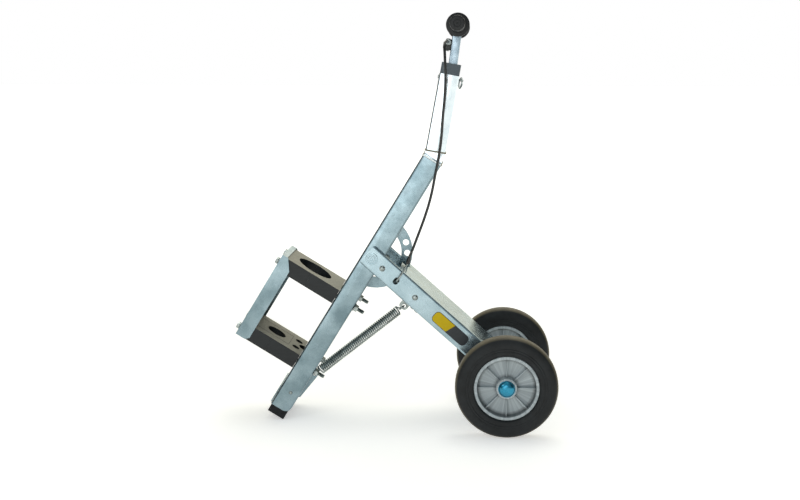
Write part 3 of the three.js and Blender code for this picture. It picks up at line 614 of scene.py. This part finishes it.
# Hex bolt with a cut thread where the nut sits.
def makeBolt(level, side):
    radius, start, end, depth = (clamp[key] for key in ("radius", "headAt", "endAt", "headDepth"))
    line = [(0, start + 1), (radius, start + 1), (radius, clamp["nutAt"] - 6)]
    y = clamp["nutAt"] - 5
    while y < end - 2:
        line += [(radius, y), (radius - 0.75, y + clamp["pitch"] / 2)]
        y += clamp["pitch"]
    line += [(radius - 0.8, end - 0.6), (radius - 1.4, end), (0, end)]
    bm = spun(line, 24)
    head = bmesh.new()
    bmesh.ops.create_cone(head, cap_ends=True, segments=6, radius1=clamp["headRadius"],
                          radius2=clamp["headRadius"], depth=depth)
    bmesh.ops.bevel(head, geom=head.edges[:], offset=0.7, segments=2, affect="EDGES", profile=0.5, material=-1)
    joinInto(bm, head, Matrix.Translation((0, start + depth / 2, 0)) @ Matrix.Rotation(math.pi / 2, 4, "X"))
    turned = Matrix.Rotation(-math.pi / 2, 4, "Z")
    at = Matrix.Translation((0, sides[side] * clamp["boltY"], clamp[level])) @ turned
    name = f"clamp_bolt_{level}_{side}"
    addPiece(name + "_finished", bm, boltZinc, (name,), columnFrame @ at)


groove = {"left": -178, "seamFrom": -111, "seamTo": -106, "right": -66, "half": 43, "top": 19.1, "width": 1.1,
          "depth": 0.5}


# Fine groove milled round the lower block's top face, broken at the seam.
def makeGrooves():
    bm = bmesh.new()
    left, right, half, width = (groove[key] for key in ("left", "right", "half", "width"))
    spans = ((left, groove["seamFrom"]), (groove["seamTo"], right))
    runs = [((x0 + x1) / 2, y, x1 - x0, width) for x0, x1 in spans for y in (-half, half)]
    runs += [(x, 0, width, 2 * half) for x in (left, right)]
    for x, y, long, wide in runs:
        made = bmesh.ops.create_cube(bm, size=1)["verts"]
        bmesh.ops.scale(bm, verts=made, vec=(long, wide, groove["depth"]))
        bmesh.ops.translate(bm, verts=made, vec=(x, y, clamp["lower"] + groove["top"]))
    addPiece("lower_block_grooves", bm, blockSkin, (), columnFrame, body="column")


for node in ("upper_block_outer", "upper_block_inner", "lower_block_outer", "lower_block_inner"):
    makeBlock(node)
makeGrooves()
easedCopy("cradle_strap", bentZinc, 0.9, 3)
for level in ("upper", "lower"):
    for side in sides:
        makeBolt(level, side)
        easedCopy(f"clamp_nut_{level}_{side}", boltZinc, 0.6)
print("cradle ready")

# Wheel arm: its hardware and the label
armPlate = {"outer": 87.3, "inner": 83.7, "screwX": 35.6, "crossbarX": 144.5}
labelShape = {"middle": (262, 0, 0), "slant": (0.960, 0, -0.281), "border": 1.3, "panel": 900}

easedCopy("arm_channel", armZinc, 0.8, 3)
easedCopy("spring_hanger", boltZinc, 0.5)
easedCopy("lock_housing", bentZinc, 0.7)
easedCopy("lock_pin", boltZinc, 0.4)
easedCopy("guide_tube", boltZinc, 0.2, 1)
easedCopy("cable_boot", cableSheath, 0.5)


# Domed screw head over a thin washer.
def domed(out):
    return [(4, out), (7.6, out), (7.6, out + 0.5), (6.9, out + 0.6), (6.6, out + 1.4), (5.6, out + 2.5),
            (4.2, out + 3.2), (2.4, out + 3.7), (0, out + 3.8)]


def makeArmHardware():
    out, inner = armPlate["outer"], armPlate["inner"]
    for side, way in sides.items():
        line = [(0, inner - 4), (6.6, inner - 4), (7, inner - 3.4), (7, inner), (4, inner)] + domed(out)
        addPiece(f"arm_screw_{side}_finished", spun([(r, way * y) for r, y in line], 40), boltZinc,
                 (f"arm_screw_{side}",), armFrame @ Matrix.Translation((armPlate["screwX"], 0, 0)))
        ring = [(8.3, out), (15, out), (15, out + 1.3), (14.4, out + 2), (12, out + 2), (11.6, out + 1.6),
                (10.8, out + 1.6), (10.4, out + 2), (8.3, out + 2), (8.3, out)]
        addPiece(f"pivot_boss_{side}_finished", spun([(r, way * y) for r, y in ring], 64), armZinc,
                 (f"pivot_boss_{side}",), armFrame)
        easedCopy(f"pivot_spacer_{side}", tubeZinc, 0.5)
    half = [(4, inner)] + domed(out)
    bar = [(r, -y) for r, y in reversed(half)] + [(6, -inner), (6, inner)] + half
    addPiece("spring_crossbar_finished", spun(bar, 40), boltZinc, ("spring_crossbar",),
             armFrame @ Matrix.Translation((armPlate["crossbarX"], 0, 0)))
    end = [(8, out + 2), (7.4, out + 2.5), (4.6, out + 2.5), (4.2, out + 2), (3.4, out + 2),
           (3, out + 2.5), (0, out + 2.5)]
    shaft = [(r, -y) for r, y in reversed(end)] + end
    addPiece("pivot_shaft_finished", spun(shaft, 48), armZinc, ("pivot_shaft",), armFrame)


# Plain two-tone label: a yellow panel and a black one, split on a slant, inside a black border.
def makeLabel():
    bm = bmesh.new()
    bm.from_mesh(nodes["arm_label"].data)
    bm.transform(armFrame.inverted())
    bmesh.ops.remove_doubles(bm, verts=bm.verts, dist=0.01)
    bmesh.ops.dissolve_limit(bm, angle_limit=math.radians(1), verts=bm.verts, edges=bm.edges)
    front = [f for f in bm.faces if f.normal.y < -0.9]
    bmesh.ops.inset_region(bm, faces=front, thickness=labelShape["border"], use_even_offset=True)
    panel = max((f for f in bm.faces if f.normal.y < -0.9), key=lambda f: f.calc_area())
    geometry = [panel, *panel.edges, *panel.verts]
    bmesh.ops.bisect_plane(bm, geom=geometry, plane_co=labelShape["middle"], plane_no=labelShape["slant"])
    for face in bm.faces:
        middle = face.calc_center_median()
        side = (middle - Vector(labelShape["middle"])).dot(Vector(labelShape["slant"]))
        panelled = face.normal.y < -0.9 and face.calc_area() > labelShape["panel"]
        face.material_index = 0 if panelled and side < 0 else 1
    addPiece("arm_label_finished", bm, [labelYellow, labelBlack], ("arm_label",), armFrame)


makeArmHardware()
makeLabel()
print("arm ready")

# Springs: the return spring with its hooks, and the lock spring round its pin
coil = {"foot": (39.5, 0, -335), "top": (127.9, 0, -94.4), "radius": 11.0, "wire": 2.0, "turns": 46,
        "hookRadius": 7, "hookReach": 20}
lockCoil = {"x": 82, "radius": 7.5, "wire": 0.9, "turns": 9, "from": -78.7, "to": -38.3}


# Hook at a coil end: off the last turn, in to the middle, and round through the eye.
def makeHook():
    r, reach = coil["hookRadius"], coil["hookReach"]
    route = [(coil["radius"], 0.6, 0.4), (10.2, -0.6, -4), (6, -2.6, -7), (1.6, -6.2, -6.6)]
    for degrees in range(75, 340, 22):
        turn = math.radians(degrees)
        route.append((0, r - reach + r * math.cos(turn), -r * math.sin(turn)))
    return tubeAlong("hook", [Vector(p) for p in route], coil["wire"], rings=3)[0]


def makeReturnSpring():
    foot, top = Vector(coil["foot"]), Vector(coil["top"])
    along = (top - foot).normalized()
    across = Vector((0, 1, 0))
    turn = Matrix((along.cross(across), along, across)).transposed().to_4x4()
    length = (top - foot).length
    bm = wound(coil["radius"], coil["wire"], coil["turns"], 0, length)
    joinInto(bm, makeHook(), Matrix.Identity(4))
    joinInto(bm, makeHook(), Matrix.Translation((0, length, 0)) @ Matrix.Rotation(math.pi, 4, "X"))
    place = columnFrame @ Matrix.Translation(foot) @ turn
    spring = addPiece("return_spring_finished", bm, springWire, ("return_spring",), place, body="", sharp=60)
    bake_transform(spring)


def makeLockSpring():
    bm = wound(lockCoil["radius"], lockCoil["wire"], lockCoil["turns"], lockCoil["from"] + 0.9,
               lockCoil["to"] - lockCoil["from"] - 1.8, perTurn=24, rings=8)
    place = armFrame @ Matrix.Translation((lockCoil["x"], 0, 0))
    spring = addPiece("lock_spring_finished", bm, springWire, ("lock_spring",), place, body="")
    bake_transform(spring)


makeReturnSpring()
makeLockSpring()
print("springs ready")

# Floor and light
studio = {"floor": "#f6f6f4", "backdrop": 1.0, "behind": "#ece8d2", "before": "#9fabb0", "sideShade": 0.14,
          "floorGlow": 0.46, "farGlow": 1.0, "glowFrom": 1.2, "glowTo": 4.5}
# name, place, the point that it faces, turn in its own plane, width, height, power
lamps = [("front", (-0.67, -4.5, 1.00), (-0.67, 0, 1.00), 43, 2.8, 1.6, 24),
         ("left", (-2.2, -2.6, 2.2), (0, 0, 0.45), 0, 1.4, 1.4, 14),
         ("top", (0.4, 0.6, 3.6), (0, 0, 0.45), 0, 2.0, 2.0, 30),
         ("back", (0.9, 3.4, 1.6), (0, 0, 0.45), 0, 2.6, 1.6, 8)]


def makeLamp(name, at, towards, roll, width, height, power):
    data = bpy.data.lights.new(name, "AREA")
    data.shape = "RECTANGLE"
    data.size, data.size_y, data.energy = width, height, power
    lamp = bpy.data.objects.new(name, data)
    aim = (Vector(towards) - Vector(at)).to_track_quat("-Z", "Y").to_matrix().to_4x4()
    lamp.matrix_world = Matrix.Translation(at) @ aim @ Matrix.Rotation(math.radians(roll), 4, "Z")
    bpy.context.scene.collection.objects.link(lamp)


# White backdrop for the eye. What the metal reflects is warm paper behind and a cooler room in front,
# both darker towards the sides.
def makeRoom():
    world = bpy.data.worlds.new("studio")
    bpy.context.scene.world = world
    world.use_nodes = True
    tree = world.node_tree
    facing = addNode(tree, "TexCoord").outputs["Generated"]
    parts = addNode(tree, "SeparateXYZ", links={"Vector": facing}).outputs
    sideways = addNode(tree, "Math", {"operation": "ABSOLUTE"}, links={0: parts["X"]}).outputs["Value"]
    shade = addNode(tree, "ValToRGB", links={"Fac": sideways}, stops=[(0.30, 1.0), (0.75, studio["sideShade"])])
    depth = addNode(tree, "MapRange", values={"From Min": -1}, links={"Value": parts["Y"]}).outputs["Result"]
    paper = addNode(tree, "ValToRGB", links={"Fac": depth},
                    stops=[(0.35, studio["before"]), (0.65, studio["behind"])])
    tone = addNode(tree, "Mix", {"data_type": "RGBA", "blend_type": "MULTIPLY"}, {"Factor": 1},
                   {6: shade.outputs["Color"], 7: paper.outputs["Color"]})
    seen = addNode(tree, "LightPath").outputs["Is Camera Ray"]
    mixed = addNode(tree, "Mix", {"data_type": "RGBA"}, links={"Factor": seen, 6: tone.outputs[2]})
    mixed.inputs[7].default_value = (studio["backdrop"],) * 3 + (1,)
    tree.links.new(mixed.outputs[2], tree.nodes["Background"].inputs["Color"])


# The floor glows more with distance, so that it runs into the backdrop with no horizon line.
def makeStudio():
    bm = bmesh.new()
    bmesh.ops.create_grid(bm, x_segments=2, y_segments=2, size=60)
    white = {"Roughness": 0.9, "Base Color": linear(studio["floor"]), "Emission Color": (1, 1, 1, 1)}
    material, tree, shader, place = newFinish("matt_white_floor", white)
    away = addNode(tree, "VectorMath", {"operation": "LENGTH"}, links={0: place}).outputs["Value"]
    glow = addNode(tree, "MapRange", links={"Value": away},
                   values={"From Min": studio["glowFrom"], "From Max": studio["glowTo"],
                           "To Min": studio["floorGlow"], "To Max": studio["farGlow"]}).outputs["Result"]
    tree.links.new(glow, shader.inputs["Emission Strength"])
    floor = addPiece("floor", bm, material, (), body="")
    makeRoom()
    for lamp in lamps:
        makeLamp(*lamp)
    bpy.context.scene.view_settings.view_transform = "Standard"


makeStudio()
print("studio ready")
